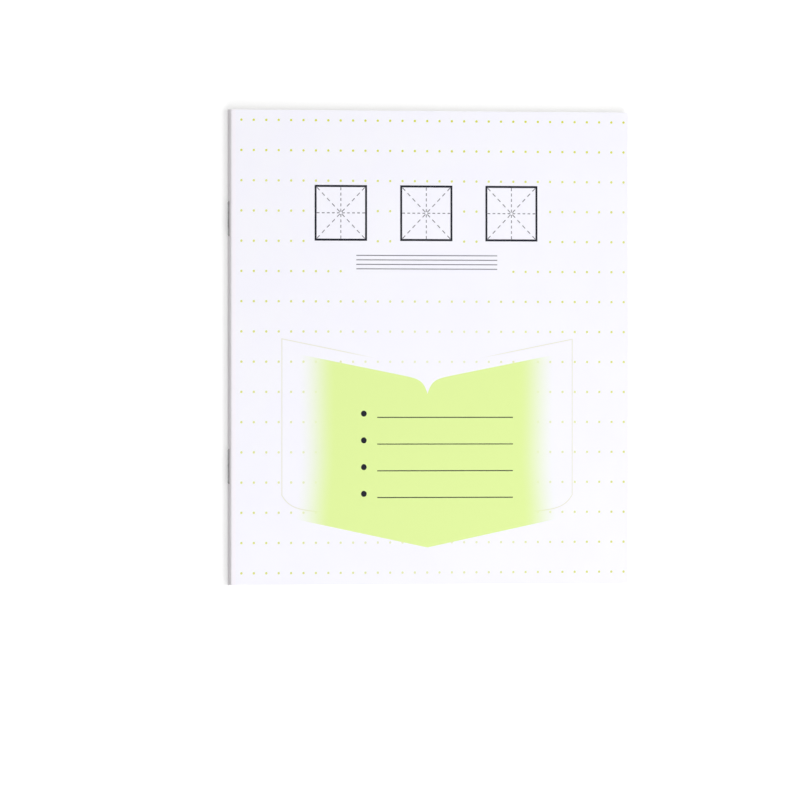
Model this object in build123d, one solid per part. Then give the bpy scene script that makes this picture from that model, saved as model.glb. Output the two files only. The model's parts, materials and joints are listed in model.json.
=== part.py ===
"""Stapled exercise book, lying closed on its back cover.

Millimetres. X runs from the spine to the fore edge, Y from the tail to the head, Z up from the table.
The origin is under the middle of the closed book, staples included.
"""

import os
from math import asin, degrees

from build123d import *

os.makedirs("parts", exist_ok=True)

# Closed book
book_width = 170.0
book_height = 190.0

# Paper
sheet_count = 16
paper_thickness = 0.08
sheet_gap = 0.015
cover_thickness = 0.2
spine_corner_radius = 0.7
smallest_corner_radius = 0.14

# Staple wire
wire_diameter = 0.55
wire_clearance = 0.04
hole_clearance = 0.05
crown_gap = 0.03
crown_length = 14.1
clinch_length = 5.4
bend_radius = 0.4
upper_staple_from_head = 43.6
lower_staple_from_tail = 47.4

# Fold
fold_lead_clearance = 0.075
fold_end_gap = 0.01
closed_edge_gap = 0.02

# Sizes that follow
wire_radius = wire_diameter / 2
core_radius = wire_radius + wire_clearance
sheet_pitch = paper_thickness + sheet_gap
half_thickness = core_radius + sheet_count * sheet_pitch + cover_thickness
spine_x = -(book_width - wire_diameter - crown_gap) / 2
fore_edge_x = spine_x + book_width
axis_x = spine_x + half_thickness
axis_z = half_thickness
fold_lead = wire_radius + fold_lead_clearance
leaf_length = fore_edge_x - axis_x - fold_lead - fold_end_gap
crown_x = spine_x - crown_gap - wire_radius
leg_spacing = crown_length - wire_diameter
staple_heights = {
    "upper_staple": book_height / 2 - upper_staple_from_head,
    "lower_staple": lower_staple_from_tail - book_height / 2,
}

# The clinched wire holds the centre fold open, so the closed front half slopes down to the fore edge.
closing_angle = degrees(asin((2 * core_radius - closed_edge_gap) / (fore_edge_x - axis_x)))
fold_axis = Axis((axis_x, 0, axis_z), (0, 1, 0))


def panel(inner_offset, thickness):
    """Flat panel on the back half, from the fold to the fore edge."""
    start_x = axis_x + fold_lead + fold_end_gap
    box = Box(leaf_length, book_height, thickness, align=(Align.MIN, Align.CENTER, Align.MAX))
    return Pos(start_x, 0, axis_z - inner_offset) * box


def front_panel(inner_offset, thickness):
    """The same panel turned over the fold axis onto the sloping front half."""
    turned = Pos(0, 0, 2 * inner_offset + thickness) * panel(inner_offset, thickness)
    return turned.rotate(fold_axis, closing_angle)


def fold_outline(offset, corner_radius):
    """Section of the space inside a fold, with its two spine corners rounded."""
    block = Rectangle(offset + fold_lead, 2 * offset, align=(Align.MIN, Align.CENTER))
    block = Pos(-offset, 0) * block
    spine_corners = block.vertices().group_by(Axis.X)[0]
    return fillet(spine_corners, corner_radius)


def fold(inner_offset, thickness):
    """Strip of paper that runs round the spine, with holes for the staple legs."""
    outer_offset = inner_offset + thickness
    nested_radius = spine_corner_radius - (half_thickness - outer_offset)
    outer_radius = max(nested_radius, smallest_corner_radius)
    section = fold_outline(outer_offset, outer_radius)
    section -= fold_outline(inner_offset, outer_radius - thickness)
    strip = extrude(Plane.XZ * section, book_height / 2, both=True)
    return Pos(axis_x, 0, axis_z) * strip - leg_holes


def staple(middle_y):
    """Bent wire: two clinched tips on the fold axis, two legs and the crown outside the spine."""
    head_y = middle_y + leg_spacing / 2
    tail_y = middle_y - leg_spacing / 2
    path = FilletPolyline(
        (axis_x, head_y - clinch_length, axis_z),
        (axis_x, head_y, axis_z),
        (crown_x, head_y, axis_z),
        (crown_x, tail_y, axis_z),
        (axis_x, tail_y, axis_z),
        (axis_x, tail_y + clinch_length, axis_z),
        radius=bend_radius,
    )
    tip = Plane(origin=path @ 0, z_dir=path % 0)
    return sweep(tip * Circle(wire_radius), path=path)


leg_hole = RegularPolygon(wire_radius + hole_clearance, 6, major_radius=False)
leg_holes = Part() + [
    Pos(crown_x, middle_y + side * leg_spacing / 2, axis_z) * extrude(Plane.YZ * leg_hole, axis_x - crown_x)
    for middle_y in staple_heights.values()
    for side in (-1, 1)
]

nodes = {}

cover_offset = half_thickness - cover_thickness
nodes["back_cover"] = panel(cover_offset, cover_thickness)
nodes["cover_spine"] = fold(cover_offset, cover_thickness)
nodes["front_cover"] = front_panel(cover_offset, cover_thickness)

for number in range(1, sheet_count + 1):
    sheet_offset = core_radius + (sheet_count - number) * sheet_pitch
    nodes[f"sheet_{number:02d}_back_leaf"] = panel(sheet_offset, paper_thickness)
    nodes[f"sheet_{number:02d}_fold"] = fold(sheet_offset, paper_thickness)
    nodes[f"sheet_{number:02d}_front_leaf"] = front_panel(sheet_offset, paper_thickness)

for name, middle_y in staple_heights.items():
    nodes[name] = staple(middle_y)

for name, shape in nodes.items():
    export_step(shape, f"parts/{name}.step")
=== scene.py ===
import json
import random
from math import cos, pi, radians, sin, tan

import bmesh
import bpy
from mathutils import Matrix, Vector


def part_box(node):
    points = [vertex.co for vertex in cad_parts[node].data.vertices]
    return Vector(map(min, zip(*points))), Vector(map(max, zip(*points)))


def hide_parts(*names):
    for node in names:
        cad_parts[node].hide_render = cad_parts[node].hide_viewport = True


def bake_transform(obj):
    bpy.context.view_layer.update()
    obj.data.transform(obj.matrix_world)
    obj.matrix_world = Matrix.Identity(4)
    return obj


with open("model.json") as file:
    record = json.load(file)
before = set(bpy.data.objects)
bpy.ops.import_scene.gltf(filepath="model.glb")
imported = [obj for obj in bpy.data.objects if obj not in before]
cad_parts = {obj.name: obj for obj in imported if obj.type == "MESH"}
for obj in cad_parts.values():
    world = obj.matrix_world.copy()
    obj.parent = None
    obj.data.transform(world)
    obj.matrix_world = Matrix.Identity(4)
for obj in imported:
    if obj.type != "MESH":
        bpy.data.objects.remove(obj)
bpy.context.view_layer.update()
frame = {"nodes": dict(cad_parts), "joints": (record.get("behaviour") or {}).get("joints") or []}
mm = 0.001
uvSpan = 400.0  # millimetres across the whole uv square

book = {
    "width": 170.0, "height": 190.0, "sheets": 16, "paper": 0.08, "gap": 0.015, "cover": 0.2,
    "core": 0.315, "spineCorner": 0.7, "smallCorner": 0.14,
    "shut": 0.208,  # degrees that the front half slopes
}
joints = {joint["name"]: joint for joint in frame["joints"]}
axisX, _, axisZ = [v / mm for v in joints["book_opening"]["pos_m"]]
creaseZ = joints["front_cover_turn"]["pos_m"][2] / mm
spineX = axisX - axisZ  # outside of the spine
foreX = spineX + book["width"]
reach = foreX - axisX


class Value:  # a socket that takes part in sums
    def __init__(self, paint, socket):
        self.paint, self.socket = paint, socket

    def sum(self, operation, *terms):
        return self.paint.node("ShaderNodeMath", {"operation": operation}, terms)

    def __add__(self, other):
        return self.sum("ADD", self, other)

    def __sub__(self, other):
        return self.sum("SUBTRACT", self, other)

    def __rsub__(self, other):
        return self.sum("SUBTRACT", other, self)

    def __mul__(self, other):
        return self.sum("MULTIPLY", self, other)

    def __truediv__(self, other):
        return self.sum("DIVIDE", self, other)

    def __abs__(self):
        return self.sum("ABSOLUTE", self)

    __radd__, __rmul__ = __add__, __mul__

    def rise(self, low, high):  # 0 below low, 1 above high, smooth between; high may be the lower one
        settings = {"interpolation_type": "SMOOTHSTEP"}
        return self.paint.node("ShaderNodeMapRange", settings, (self, low, high, 0.0, 1.0))

    def within(self, most, soft):
        return self.rise(most + soft, most - soft)

    def between(self, low, high, soft):
        return self.rise(low - soft, low + soft) * self.within(high, soft)

    def wrap(self, pitch, first):  # signed distance to the nearest of a row of places
        turns = (self - first) / pitch
        return (turns - self.sum("ROUND", turns)) * pitch

    def length(self, other):
        return self.sum("SQRT", self * self + other * other)

    def exp(self):
        return self.sum("EXPONENT", self)

    def least(self, other):
        return self.sum("MINIMUM", self, other)

    def most(self, other):
        return self.sum("MAXIMUM", self, other)


class Nodes:  # a node tree and the one way to add to it
    def __init__(self, tree):
        self.tree = tree

    def node(self, kind, settings=None, inputs=(), output=0):
        made = self.tree.nodes.new(kind)
        for name, value in (settings or {}).items():
            setattr(made, name, value)
        pairs = inputs.items() if isinstance(inputs, dict) else enumerate(inputs)
        for key, value in pairs:
            self.feed(made.inputs[key], value)
        return Value(self, made.outputs[output])

    def feed(self, socket, value):
        if isinstance(value, Value):
            self.tree.links.new(value.socket, socket)
        else:
            socket.default_value = value

    def seen(self):  # 1 for what the camera, metal and gloss see
        camera = self.node("ShaderNodeLightPath", output="Is Camera Ray")
        rays = camera.socket.node.outputs
        gloss, clear = Value(self, rays["Is Glossy Ray"]), Value(self, rays["Is Transmission Ray"])
        return camera.most(gloss).most(clear)


class Paint(Nodes):  # one material
    def __init__(self, name, **shader):
        self.material = bpy.data.materials.new(name)
        self.material.use_nodes = True
        super().__init__(self.material.node_tree)
        self.shader = self.tree.nodes["Principled BSDF"]
        for socket, value in shader.items():
            self.into(socket.replace("_", " "), value)

    def into(self, socket, value):
        self.feed(self.shader.inputs[socket], value)

    def mix(self, share, first, second):  # colours
        return self.node("ShaderNodeMix", {"data_type": "RGBA"}, {0: share, 6: first, 7: second}, 2)

    def flat(self):  # millimetres on the sheet at rest, whatever the pose
        uv = self.node("ShaderNodeUVMap", {"uv_map": "sheet"})
        across = self.node("ShaderNodeSeparateXYZ", {}, (uv,))
        up = Value(self, across.socket.node.outputs[1])
        return (across - 0.5) * uvSpan, (up - 0.5) * uvSpan, uv

    def place(self):  # on the object itself, in metres
        return self.node("ShaderNodeTexCoord", output="Object")

    def noise(self, where, scale, detail=3.0, stretch=None):
        if stretch:
            where = self.node("ShaderNodeVectorMath", {"operation": "MULTIPLY"}, (where, stretch))
        return self.node("ShaderNodeTexNoise", {}, {"Vector": where, "Scale": scale, "Detail": detail})

    def bump(self, height, strength, distance):
        inputs = {"Strength": strength, "Distance": distance, "Height": height}
        self.into("Normal", self.node("ShaderNodeBump", {}, inputs))


def srgb(red, green, blue):  # picture values to scene values
    def one(v):
        v /= 255
        return v / 12.92 if v <= 0.04045 else ((v + 0.055) / 1.055) ** 2.4
    return (one(red), one(green), one(blue), 1.0)


cardStock = {
    "front": srgb(246, 245, 254), "back": srgb(243, 239, 242), "inside": srgb(243, 242, 244),
    # the front of the fold is lighter as a painted highlight; the pale tone serves the random clouding, the
    # wear at the fold and the fold's painted highlight
    "frontOfFold": srgb(249, 245, 252), "paleWearAndHighlight": srgb(250, 250, 252),
    "fibre": 900.0, "cloud": 22.0, "rub": 160.0, "rubStretch": (1.0, 0.2, 1.0),  # noise scales
    "cloudFade": (0.3, 0.75), "rubFade": (0.35, 0.7),
    "gloss": 0.1, "bump": (0.12, 0.00004),
}


def cardTone(paint, uv, tone, cloudy):
    cloud = paint.noise(uv, cardStock["cloud"], 2.0).rise(*cardStock["cloudFade"])
    return paint.mix(cloud * cloudy, tone, cardStock["paleWearAndHighlight"])


def wearAndHighlightPatches(paint, uv):  # patches along the fold, partly wear and partly painted highlight
    rub = paint.noise(uv, cardStock["rub"], 3.0, cardStock["rubStretch"])
    return rub.rise(*cardStock["rubFade"])


# millimetres from the outside of the spine and down from the head
# a fade's two values are where there is none and where it is full
coverPrint = {
    "ink": srgb(16, 18, 32), "middle": 83.8,  # of the panel
    "cloudy": 0.35, "paleWearAndHighlight": 0.6, "wearAndHighlightFade": (2.6, 0.2),  # the fold has gone pale, partly wear and partly a painted highlight
    "rough": 0.5, "roughFibre": 0.12, "roughInk": -0.08, "roughWorn": 0.15,
    "dots": {
        "colour": srgb(213, 219, 72), "strength": 0.92, "radius": 0.5,
        "pitch": (5.277, 12.085), "first": (4.52, 4.08),
        "least": 0.46, "away": 0.47, "atHead": 0.2,  # faint round the panel, strongest at the head
        "faintAt": 135.0, "faintSize": (66.0, 55.0), "awayFade": (0.5, 1.45), "headFade": (32.0, 5.0),
    },
    "panel": {
        "colour": srgb(224, 244, 159), "head": 108.2, "headSlope": 0.19, "foot": 175.3, "footSlope": 0.204,
        "notch": 5.4, "notchWidth": 1.75,
        "fade": (55.6, 38.9), "footWider": 2.0, "footFade": (138.0, 166.0),
    },
    "outline": {
        "colour": srgb(229, 227, 210), "strength": 0.9, "thick": 0.2, "half": 62.1,
        "head": 103.59, "headSlope": 0.193, "foot": 159.57, "footSlope": 0.085,
        "curl": 5.37, "curlWidth": 3.3,
        "headFade": (20.0, 38.0), "footFade": (42.0, 52.0), "upperFade": (126.0, 124.0),
    },
    "lines": {
        "left": 62.3, "right": 120.4, "first": 123.05, "pitch": 10.72, "count": 4, "thick": 0.2,
        "bulletAt": 56.6, "bulletLift": 1.5, "bulletRadius": 1.22,
    },
    "squares": {
        "middle": 83.3, "height": 41.1, "step": 36.5, "count": 3, "half": 10.75, "frame": 0.43,
        "guide": 0.18, "diagonal": 0.25, "strength": 0.85, "clear": 1.35,
        "dashPitch": 2.15, "firstDash": 1.07, "dash": 0.58,
    },
    "staff": {
        "left": 53.4, "right": 113.7, "first": 58.1, "pitch": 1.8, "count": 4,
        "thick": 0.18, "strength": 0.85, "clear": (2.4, 2.0),
    },
}


def gridDots(x, y, h):
    d = coverPrint["dots"]
    (pitchX, pitchY), (firstX, firstY), (sizeX, sizeY) = d["pitch"], d["first"], d["faintSize"]
    dots = x.wrap(pitchX, firstX).length(y.wrap(pitchY, firstY)).within(d["radius"], 0.08)
    away = (h / sizeX).length((y - d["faintAt"]) / sizeY).rise(*d["awayFade"])
    return dots * (d["least"] + away * d["away"] + y.rise(*d["headFade"]) * d["atHead"])


def openPages(y, h):  # the panel, with its notch and without
    d = coverPrint["panel"]
    head = d["head"] - h * d["headSlope"]
    foot = d["foot"] - h * d["footSlope"]
    notch = (h / -d["notchWidth"]).exp() * d["notch"]
    fade = (h - y.rise(*d["footFade"]) * d["footWider"]).rise(*d["fade"])
    fade = fade * (foot - y).rise(-0.12, 0.12)
    return [(y - top).rise(-0.12, 0.12) * fade for top in (head + notch, head)]


def pageOutline(y, h):
    d = coverPrint["outline"]
    side = h - d["half"]
    curl = (side / d["curlWidth"]).exp() * d["curl"]  # the foot turns in, with a corner at its outer end
    slope = curl / d["curlWidth"] + d["footSlope"]
    ledge = (y - d["foot"] + curl + side * d["footSlope"]) / slope.length(1.0)
    brow = d["head"] - h * d["headSlope"] - y
    upper = y.rise(*d["upperFade"])
    shown = upper * h.rise(*d["headFade"]) + (1 - upper) * h.rise(*d["footFade"])
    return abs(side.most(ledge).most(brow)).within(d["thick"], 0.1) * shown


def fieldLines(x, y):  # ruled lines, with a bullet before each
    d = coverPrint["lines"]
    row = y.wrap(d["pitch"], d["first"])
    rows = y.between(d["first"] - d["pitch"] / 2, d["first"] + d["pitch"] * (d["count"] - 0.5), 0.01)
    ruled = abs(row).within(d["thick"], 0.06) * x.between(d["left"], d["right"], 0.06)
    bullet = (x - d["bulletAt"]).length(row + d["bulletLift"]).within(d["bulletRadius"], 0.08)
    return (ruled + bullet) * rows


def practiceSquares(x, y):  # their ink and their clear ground
    d = coverPrint["squares"]
    across = x - d["middle"]
    span = d["step"] * d["count"] / 2
    boxes = abs(across).rise(span, span - 0.01)
    bx, by = abs(across.wrap(d["step"], 0.0)), abs(y - d["height"])
    far = bx.most(by)
    outer = abs(far - d["half"]).within(d["frame"], 0.07)
    dash = abs(far.wrap(d["dashPitch"], d["firstDash"])).within(d["dash"], 0.04)
    guide = bx.least(by).within(d["guide"], 0.06).most(abs(bx - by).within(d["diagonal"], 0.08))
    guide = guide * dash * far.rise(d["half"], d["half"] - 0.1) * d["strength"]
    return outer.most(guide) * boxes, far.within(d["half"] + d["clear"], 0.05) * boxes


def staffLines(x, y):  # their ink and their clear ground
    d = coverPrint["staff"]
    last = d["first"] + d["pitch"] * (d["count"] - 1)
    clearX, clearY = d["clear"]
    rows = y.between(d["first"] - d["pitch"] / 2, last + d["pitch"] / 2, 0.05)
    lines = abs(y.wrap(d["pitch"], d["first"])).within(d["thick"], 0.06) * rows
    lines = lines * x.between(d["left"], d["right"], 0.06)
    clear = x.between(d["left"] - clearX, d["right"] + clearX, 0.05)
    return lines * d["strength"], clear * y.between(d["first"] - clearY, last + clearY, 0.05)


def printedCover():
    p = coverPrint
    paint = Paint("printedCover", Specular_IOR_Level=cardStock["gloss"])
    across, up, uv = paint.flat()
    x = across + axisZ
    y = book["height"] / 2 - up
    h = abs(x - p["middle"])
    green, pages = openPages(y, h)
    squares, squareGround = practiceSquares(x, y)
    staff, staffGround = staffLines(x, y)
    dots = gridDots(x, y, h) * (1 - pages) * (1 - squareGround.most(staffGround))
    ink = fieldLines(x, y).most(squares).most(staff).least(1.0)
    # pale fold: paper whitened by wear, plus a painted highlight along the fold
    paleWearAndHighlight = x.rise(*p["wearAndHighlightFade"]) * wearAndHighlightPatches(paint, uv)
    fibre = paint.noise(uv, cardStock["fibre"], 4.0)

    colour = cardTone(paint, uv, cardStock["front"], p["cloudy"])
    colour = paint.mix(dots * p["dots"]["strength"], colour, p["dots"]["colour"])
    colour = paint.mix(pageOutline(y, h) * p["outline"]["strength"], colour, p["outline"]["colour"])
    colour = paint.mix(green, colour, p["panel"]["colour"])
    colour = paint.mix(ink, colour, p["ink"])
    paint.into("Base Color", paint.mix(paleWearAndHighlight * p["paleWearAndHighlight"], colour, cardStock["paleWearAndHighlight"]))
    rough = p["rough"] + (fibre - 0.5) * p["roughFibre"]
    paint.into("Roughness", rough + ink * p["roughInk"] + paleWearAndHighlight * p["roughWorn"])
    paint.bump(fibre, *cardStock["bump"])
    return paint.material


plainCard = {
    "cloudy": 0.2, "rough": 0.52, "roughFibre": 0.14,
    "corner": 0.35, "cornerFade": (0.9, 0.1), "paleWearAndHighlight": 0.7, "toneFade": 0.4,  # millimetres at the spine
}


def plainCover(name, tone, foldWearAndHighlight):
    p = plainCard
    paint = Paint(name, Specular_IOR_Level=cardStock["gloss"])
    across, _, uv = paint.flat()
    fibre = paint.noise(uv, cardStock["fibre"], 4.0)
    colour = cardTone(paint, uv, tone, p["cloudy"])
    if foldWearAndHighlight:  # the front's tone starts at the corner and is lighter there as a painted highlight, and both corners of the spine are rubbed pale, partly wear and partly painted highlight
        front = across.rise(axisZ - p["toneFade"], axisZ + p["toneFade"])
        colour = paint.mix(front, colour, cardStock["frontOfFold"])
        corner = abs(abs(across) - (axisZ - p["corner"])).rise(*p["cornerFade"]) * wearAndHighlightPatches(paint, uv)
        colour = paint.mix(corner * p["paleWearAndHighlight"], colour, cardStock["paleWearAndHighlight"])
    paint.into("Base Color", colour)
    paint.into("Roughness", p["rough"] + (fibre - 0.5) * p["roughFibre"])
    paint.bump(fibre, *cardStock["bump"])
    return paint.material


pageRuling = {
    "paper": srgb(243, 240, 230), "line": srgb(162, 194, 142), "strength": 0.85,
    "pitch": 11.0, "first": 28.0, "count": 14, "thick": 0.18, "header": 17.0, "headerThick": 0.29,
    "inner": 13.0, "outer": 159.0,  # out from the fold
    "speck": srgb(235, 230, 217), "specks": 260.0, "speckFade": (0.6, 0.8), "speckStrength": 0.5,
    "fibre": 700.0, "rough": 0.78, "roughFibre": 0.2, "gloss": 0.2, "bump": (0.2, 0.00003),
}


def ruledPage():
    p = pageRuling
    paint = Paint("ruledPage", Specular_IOR_Level=p["gloss"])
    across, up, uv = paint.flat()
    y = book["height"] / 2 - up
    last = p["first"] + p["pitch"] * p["count"]
    wide = abs(across).between(p["inner"], p["outer"], 0.08)
    lines = abs(y.wrap(p["pitch"], p["first"])).within(p["thick"], 0.07)
    lines = lines * y.between(p["first"] - 1, last + 1, 0.1)
    header = abs(y - p["header"]).within(p["headerThick"], 0.07)
    fibre = paint.noise(uv, p["fibre"], 5.0)
    speck = paint.noise(uv, p["specks"], 2.0).rise(*p["speckFade"])
    colour = paint.mix(speck * p["speckStrength"], p["paper"], p["speck"])
    paint.into("Base Color", paint.mix(lines.most(header) * wide * p["strength"], colour, p["line"]))
    paint.into("Roughness", p["rough"] + (fibre - 0.5) * p["roughFibre"])
    paint.bump(fibre, *p["bump"])
    return paint.material


cutEdges = {
    "pageEdge": (srgb(249, 248, 244), srgb(229, 226, 219)),  # light, dark
    "coverEdge": (srgb(248, 248, 250), srgb(226, 226, 230)),
    "own": 0.8, "mottle": 0.25, "least": 0.08,  # shares of the light tone; each sheet has its own
    "grain": 900.0, "rough": 0.85, "roughGrain": 0.2, "gloss": 0.2, "bump": (0.25, 0.00003),
}


def cutEdge(name):
    p = cutEdges
    light, dark = p[name]
    paint = Paint(name, Specular_IOR_Level=p["gloss"])
    own = paint.node("ShaderNodeObjectInfo", output="Random")
    grain = paint.noise(paint.place(), p["grain"], 2.0)
    share = own * p["own"] + grain * p["mottle"] + p["least"]
    paint.into("Base Color", paint.mix(share.least(1.0), dark, light))
    paint.into("Roughness", p["rough"] + (grain - 0.5) * p["roughGrain"])
    paint.bump(grain, *p["bump"])
    return paint.material


drawnWire = {
    # both tones are darker than bare steel: painted shade, so the staple shows as a dark line
    "bright": srgb(168, 167, 168), "dull": srgb(132, 131, 132), "patches": 420.0, "dullFade": (0.35, 0.75),
    "streaks": 2600.0, "streakStretch": (1.0, 0.04, 1.0),  # drawn lines along the wire
    "rough": 0.26, "roughStreak": 0.16, "roughDull": 0.12, "roughFade": (0.5, 0.8), "bump": (0.15, 0.00002),
}


def stapleWire():
    p = drawnWire
    paint = Paint("stapleWire", Metallic=1.0)
    where = paint.place()
    streak = paint.noise(where, p["streaks"], 4.0, p["streakStretch"])
    dull = paint.noise(where, p["patches"], 3.0)
    paint.into("Base Color", paint.mix(dull.rise(*p["dullFade"]), p["bright"], p["dull"]))
    rough = p["rough"] + streak * p["roughStreak"]
    paint.into("Roughness", rough + dull.rise(*p["roughFade"]) * p["roughDull"])
    paint.bump(streak, *p["bump"])
    return paint.material


finishes = {
    "print": printedCover(),
    "card": plainCover("plainCover", cardStock["back"], True),
    "inside": plainCover("coverInside", cardStock["inside"], False),
    "page": ruledPage(),
    "pageEdge": cutEdge("pageEdge"),
    "coverEdge": cutEdge("coverEdge"),
    "wire": stapleWire(),
}
print("finishes", len(finishes))


def spread(first, last, count):
    return [first + (last - first) * i / (count - 1) for i in range(count)]


staples = ("upper_staple", "lower_staple")
holes = {"room": 0.05, "near": 0.035, "cornerRoom": 0.03}
legs, holeHalf = [], 0.0  # where the wire goes through the fold
for name in staples:
    low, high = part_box(name)
    wireRadius = (high[2] - low[2]) / 2 / mm
    legs += [low[1] / mm + wireRadius, high[1] / mm - wireRadius]
    holeHalf = wireRadius + holes["room"]

closedLeaves = {  # how they lie, in millimetres
    "rise": 0.45, "power": 2.6, "wave": 0.35, "wavePhase": 0.6,  # of the front half towards the fore edge
    "eased": 2.6, "middleGap": 0.012,
}


def standOff(share, x, y):  # the front leaves rise a little towards the fore edge
    c = closedLeaves
    out = max(0.0, x / reach)
    wave = 1 + c["wave"] * cos(2 * pi * (y / book["height"]) + c["wavePhase"])
    return c["rise"] * share * out ** c["power"] * wave


def halfway(x):  # height of the plane between the two closed halves, from the fold
    return -x * tan(radians(book["shut"] / 2))


def closedOffset(inner, rank, x):  # a leaf's inner face from that plane; the leaves share the covers' room
    t = min(max(x / closedLeaves["eased"], 0.0), 1.0)
    gap = closedLeaves["middleGap"]
    even = gap + rank * (axisZ - book["cover"] + halfway(x) - gap)
    return inner + (even - inner) * t * t * (3 - 2 * t)


sheetPoints = {  # out from the fold in millimetres, then how many
    "nearFold": [0.0, 0.5, 0.9, 1.3, 1.7, 2.1, 2.6], "back": [5.0, 12.0, 30.0, 70.0, 120.0],
    "front": [3.2, 4.0, 5.0, 8.0, 15.0, 30.0], "bulge": 45.0,
    "onBulge": 9, "onCorner": 6, "onRise": 5, "rows": 15,
    "sharp": 40.0,  # degrees
}


def section(inner, thickness, corner, parts, rank, long):
    # points round the spine as (x, z, which part), for the outer face and the inner face
    p = sheetPoints
    backPlaces = (p["nearFold"] + p["back"] + [long])[::-1]
    frontPlaces = p["nearFold"] + p["front"] + spread(p["bulge"], long, p["onBulge"])
    arc = spread(0, pi / 2, p["onCorner"])
    faces = []
    for thick, bend in ((thickness, corner), (0.0, corner - thickness)):
        side = inner + thick
        low = side - bend
        face = []
        if "back" in parts:
            face += [(x, halfway(x) - closedOffset(inner, rank, x) - thick, "back") for x in backPlaces]
        if "fold" in parts:
            roomy = low > holeHalf + holes["cornerRoom"]
            rise = spread(holeHalf, low, p["onRise"])[:-1] if roomy else [low / 2]
            face += [(-low - bend * sin(a), -low - bend * cos(a), "fold") for a in arc]
            face += [(-side, z, "fold") for z in [-z for z in rise[::-1]] + [0.0] + rise]
            face += [(-low - bend * cos(a), low + bend * sin(a), "fold") for a in arc]
            face += [] if "front" in parts else [(0.0, side, "fold")]
        if "front" in parts:
            face += [(x, halfway(x) + closedOffset(inner, rank, x) + thick, "front") for x in frontPlaces]
        faces.append(face)
    return faces


bakeMap = {"print": 0.8, "inside": 0.13, "room": 0.01, "strip": 0.009, "edge": 0.65}


def printPlaces(mesh, along, rows):  # a second map for baking: most of it for the print
    layer = mesh.uv_layers.new(name="OFBake", do_init=False)
    n, m = len(along), len(rows)
    shares, room = (bakeMap["print"], bakeMap["inside"]), bakeMap["room"]
    starts = (room, shares[0] + 2 * room, sum(shares) + 3 * room)
    for polygon in mesh.polygons:
        kind = polygon.material_index
        places = [(v % n, v // n % m, v // (n * m)) for v in polygon.vertices]
        columns, lines = {i for i, _, _ in places}, {j for _, j, _ in places}
        wall = [columns == {0}, columns == {n - 1}, lines == {0}, True].index(True)
        for loop, (i, j, side) in zip(polygon.loop_indices, places):
            s, t = along[i] / along[-1], (rows[j] - rows[0]) / (rows[-1] - rows[0])
            if kind == 2:  # cut edges side by side in thin strips
                s, t = (wall + side * bakeMap["edge"]) * bakeMap["strip"], t if wall < 2 else s
            else:
                s *= shares[kind]
            layer.data[loop].uv = (starts[kind] + s, room + t * (1 - 2 * room))


def sheetRows(trim, pierce):  # lines across the sheet, with one at each edge of each hole
    rows = spread(-book["height"] / 2 + trim[1], book["height"] / 2 - trim[2], sheetPoints["rows"])
    spans = [(y - holeHalf, y + holeHalf) for y in legs] if pierce else []
    rows = [y for y in rows if not any(low <= y <= high for low, high in spans)]
    rows = sorted(rows + [y for span in spans for y in span])
    return rows, [rows.index(low) for low, _ in spans]


def sheetFaces(n, m, pierced, holeRows):  # corners of each face, and 0 outside, 1 inside or 2 cut edge
    layer = n * m
    quads = []

    def wall(a, b):  # from the outer face to the inner one, along the edge from a to b
        quads.append(((a, b, b + layer, a + layer), 2))

    for j in range(m - 1):
        holed = j in holeRows
        for i in range(n - 1):
            if holed and i in pierced[:-1]:
                continue
            a = j * n + i
            quads.append(((a, a + n, a + n + 1, a + 1), 0))
            quads.append((tuple(v + layer for v in (a, a + 1, a + n + 1, a + n)), 1))
        for i in [0, n - 1] + ([pierced[0], pierced[-1]] if holed else []):
            wall(j * n + i, j * n + i + n)
    for i in range(n - 1):
        holeEdges = [r for low in holeRows for r in (low, low + 1)] if i in pierced[:-1] else []
        for j in [0, m - 1] + holeEdges:
            wall(j * n + i, j * n + i + 1)
    return quads


def foldedPiece(name, inner, thickness, corner, parts, rank, share, trim, faces):
    # one folded sheet with thickness: outer face, inner face and cut edges, each with its own finish
    outside, inside = section(inner, thickness, corner, parts, rank, reach + trim[0])
    rows, holeRows = sheetRows(trim, "fold" in parts)
    along = [0.0]
    for (x0, z0, _), (x1, z1, _) in zip(outside, outside[1:]):
        along.append(along[-1] + ((x1 - x0) ** 2 + (z1 - z0) ** 2) ** 0.5)
    spine = [i for i, (x, _, part) in enumerate(outside) if part == "fold" and x < 0]
    pierced = [i for i in spine if abs(outside[i][1]) < holeHalf + holes["near"]]
    zero = along[min(spine, key=lambda i: abs(outside[i][1]))] if spine else 0.0  # the middle of the spine

    verts, uvs = [], []
    for face in (outside, inside):
        for y in rows:
            for (x, z, part), length in zip(face, along):
                if part == "front":
                    z += standOff(share, x, y)
                verts.append(((axisX + x) * mm, y * mm, (axisZ + z) * mm))
                uvs.append(((length - zero) / uvSpan + 0.5, y / uvSpan + 0.5))
    quads = sheetFaces(len(outside), len(rows), pierced, holeRows)
    mesh = bpy.data.meshes.new(name)
    mesh.from_pydata(verts, [], [corners for corners, _ in quads])
    layer = mesh.uv_layers.new(name="sheet")
    for loop in mesh.loops:
        layer.data[loop.index].uv = uvs[loop.vertex_index]
    for finish in faces:
        mesh.materials.append(finishes[finish])
    for polygon, (_, slot) in zip(mesh.polygons, quads):
        polygon.material_index = slot
        polygon.use_smooth = True
    shell = bmesh.new()
    shell.from_mesh(mesh)
    bmesh.ops.recalc_face_normals(shell, faces=shell.faces)
    shell.to_mesh(mesh)
    shell.free()
    mesh.set_sharp_from_angle(angle=radians(sheetPoints["sharp"]))
    if "print" in faces:
        printPlaces(mesh, along, rows)
    made = bpy.data.objects.new(name, mesh)
    bpy.context.collection.objects.link(made)
    return made


def onAxis(x, z):  # a point of the fold, in metres
    return Vector((axisX + x, 0, z)) * mm
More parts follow.
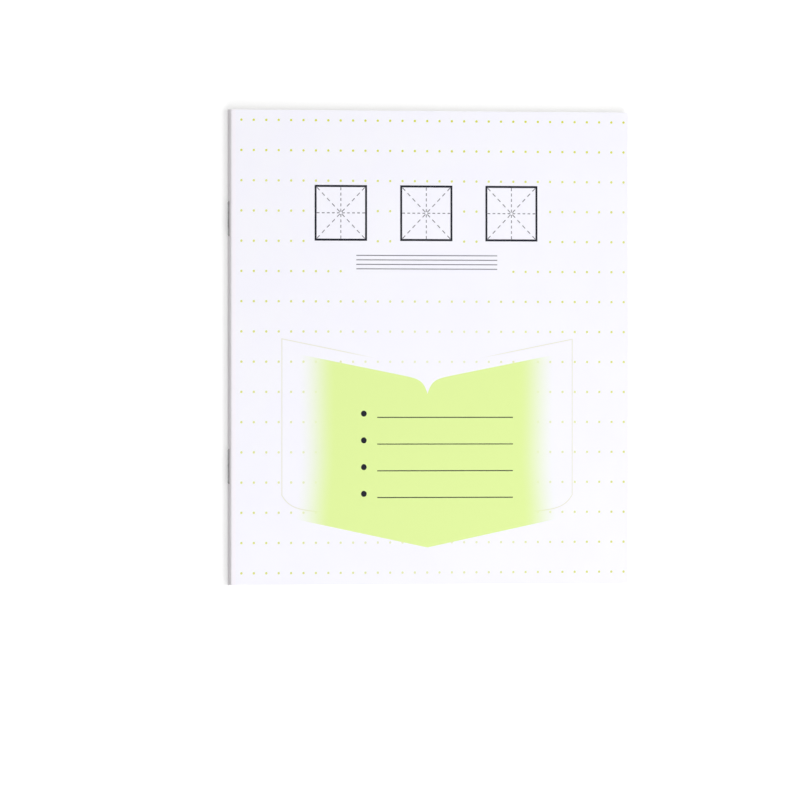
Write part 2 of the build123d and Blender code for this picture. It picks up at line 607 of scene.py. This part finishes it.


# cover: the back panel and spine are one piece, the front panel another
coverBends = {"spine": (0.3, 1.7), "crease": 5.0}  # shares of the spine's half height; millimetres
coverShape = (axisZ - book["cover"], book["cover"], book["spineCorner"])
untrimmed = (0, 0, 0)
coverBack = foldedPiece("coverBackAndSpine", *coverShape, ("back", "fold"), rank=1, share=0, trim=untrimmed,
                        faces=("card", "inside", "coverEdge"))
spineLow, spineHigh = [onAxis(0, axisZ * part) for part in coverBends["spine"]]
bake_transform(coverBack)
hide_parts("back_cover", "cover_spine")
coverFront = foldedPiece("coverFront", *coverShape, ("front",), rank=1, share=1, trim=untrimmed,
                         faces=("print", "inside", "coverEdge"))
creaseStart, creaseEnd = onAxis(0, creaseZ), onAxis(coverBends["crease"], creaseZ)
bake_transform(coverFront)
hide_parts("front_cover")
print("cover", len(coverFront.data.polygons) + len(coverBack.data.polygons), "faces")

# sheets, outermost first
sheetTrim = {"seed": 7, "fore": 0.1, "ends": 0.05}
bendShort = 0.002  # how far the points across the fold stop short of the leaves
chance = random.Random(sheetTrim["seed"])
slope = radians(book["shut"])
acrossFold = Vector((sin(slope / 2), 0, cos(slope / 2))) * mm
for number in range(1, book["sheets"] + 1):
    inner = book["core"] + (book["sheets"] - number) * (book["paper"] + book["gap"])
    corner = max(book["spineCorner"] - (axisZ - inner - book["paper"]), book["smallCorner"])
    trim = [chance.uniform(0, sheetTrim[edge]) for edge in ("fore", "ends", "ends")]
    trim[0] *= -1
    rank, share = 1 - number / book["sheets"], 1 - number / (book["sheets"] + 1)
    sheet = foldedPiece(f"sheet{number:02d}", inner, book["paper"], corner, ("back", "fold", "front"),
                        rank, share, trim, ("page", "page", "pageEdge"))
    half = inner - reach * tan(slope) / 2 - bendShort
    onAxis(0, axisZ) - acrossFold * half
    onAxis(0, axisZ) + acrossFold * half
    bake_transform(sheet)
    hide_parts(*(f"sheet_{number:02d}_{part}" for part in ("back_leaf", "fold", "front_leaf")))
print("sheets", book["sheets"])

for name in staples:
    wire = frame["nodes"][name]
    wire.data.materials.clear()
    wire.data.materials.append(finishes["wire"])
print("staples", len(staples))

stage = {
    "floor": srgb(214, 214, 214), "patch": srgb(210, 210, 211), "patches": 3.0, "patchStrength": 0.1,
    "rough": 0.9, "size": 14.0,
    "lift": 0.4, "white": (0.16, 0.6),  # how bright the floor looks, and where it turns white
    "world": 0.32,
}


def paleFloor():
    paint = Paint("paleFloor", Roughness=stage["rough"], Emission_Strength=1.0)
    where = paint.place()
    patch = paint.noise(where, stage["patches"]) * stage["patchStrength"]
    paint.into("Base Color", paint.mix(patch, stage["floor"], stage["patch"]))
    away = paint.node("ShaderNodeVectorMath", {"operation": "LENGTH"}, (where,), "Value")
    level = stage["lift"] + (1 - stage["lift"]) * away.rise(*stage["white"])
    paint.into("Emission Color", paint.mix(level * paint.seen(), (0, 0, 0, 1), (1, 1, 1, 1)))
    bpy.ops.mesh.primitive_plane_add(size=stage["size"])
    floor = bpy.context.object
    floor.name = "floor"
    floor.data.materials.append(paint.material)


paleFloor()
world = bpy.data.worlds.new("studio")
bpy.context.scene.world = world
world.use_nodes = True
sky = Nodes(world.node_tree)
sky.tree.nodes.remove(sky.tree.nodes["Background"])
dim = sky.node("ShaderNodeBackground", {}, ((1, 1, 1, 1), stage["world"]))
white = sky.node("ShaderNodeBackground", {}, ((1, 1, 1, 1), 1.0))
shown = sky.node("ShaderNodeMixShader", {}, (sky.seen(), dim, white))
sky.feed(sky.tree.nodes["World Output"].inputs[0], shown)

lamps = {  # place, size, power, aimed at the book
    "key": ((0.8, 0.0, 1.3), 0.9, 9.1),
    "near": ((0.15, -0.9, 1.15), 1.2, 10.5),
    "left": ((-1.1, 0.1, 0.6), 0.7, 0.6),
    "back": ((-0.3, 1.3, 0.7), 1.0, 3.1),
}
for name, (place, size, power) in lamps.items():
    light = bpy.data.lights.new(name, "AREA")
    light.size, light.energy = size, power
    lamp = bpy.data.objects.new(name, light)
    lamp.location = place
    lamp.rotation_euler = (-Vector(place)).to_track_quat("-Z", "Y").to_euler()
    bpy.context.collection.objects.link(lamp)
print("floor, world and", len(lamps), "lamps")

shot = {
    "tilt": 20.0, "lens": 600.0, "clip": (0.05, 50.0), "picture": 800,
    "scale": 2.49, "centre": (430.5, 347.5),  # pixels per millimetre, and the pixel at the cover's middle
}
camera = bpy.data.objects.new("camera", bpy.data.cameras.new("camera"))
bpy.context.collection.objects.link(camera)
bpy.context.scene.camera = camera
camera.data.lens = shot["lens"]
camera.data.clip_start, camera.data.clip_end = shot["clip"]
tilt = radians(shot["tilt"])
right, toCamera = Vector((cos(tilt), 0, sin(tilt))), Vector((-sin(tilt), 0, cos(tilt)))
coverMiddle = Vector(((spineX + foreX) / 2, 0, 2 * axisZ)) * mm
pixel = mm / shot["scale"]
asideX, asideY = [(c - shot["picture"] / 2) * pixel for c in shot["centre"]]
aim = coverMiddle - right * asideX + Vector((0, asideY, 0))
distance = shot["lens"] / camera.data.sensor_width * shot["picture"] * pixel
camera.location = aim + toCamera * distance
camera.rotation_euler = (0, -tilt, 0)
bpy.context.scene.view_settings.view_transform = "Standard"
